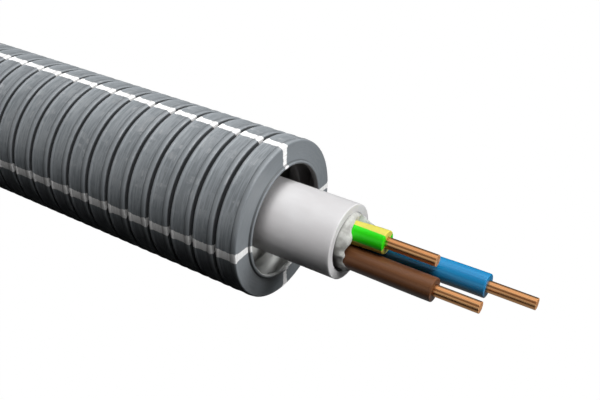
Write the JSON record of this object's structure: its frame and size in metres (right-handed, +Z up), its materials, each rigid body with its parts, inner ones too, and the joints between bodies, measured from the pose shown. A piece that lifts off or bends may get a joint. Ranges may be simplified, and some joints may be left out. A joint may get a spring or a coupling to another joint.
{
  "type": "prewired conduit",
  "caption": "Straight length of corrugated plastic conduit with a three-core installation cable drawn in, its near end stripped to bare copper.",
  "frame": {"origin": "middle of the end face of the conduit's last rib, where the stripped cable comes out", "axes": "+X along the conduit, out of its stripped end; +Z up"},
  "size_m": [1.0308, 0.02, 0.02],
  "materials": {
    "conduit": "moulded grey plastic with four white stripes along it, dull sheen",
    "sheath": "smooth light grey cable sheath, soft sheen",
    "filler": "white bedding compound, torn at its end",
    "insulation_green_yellow": "green and yellow striped insulation, satin",
    "insulation_brown": "brown insulation, satin",
    "insulation_blue": "blue insulation, glossy",
    "copper": "bright bare copper wire"
  },
  "bodies": {
    "root": {"conduit": "conduit", "cable_sheath": "sheath", "filler": "filler", "insulation_green_yellow": "insulation_green_yellow", "insulation_brown": "insulation_brown", "insulation_blue": "insulation_blue", "conductor_green_yellow": "copper", "conductor_brown": "copper", "conductor_blue": "copper"}
  },
  "joints": []
}
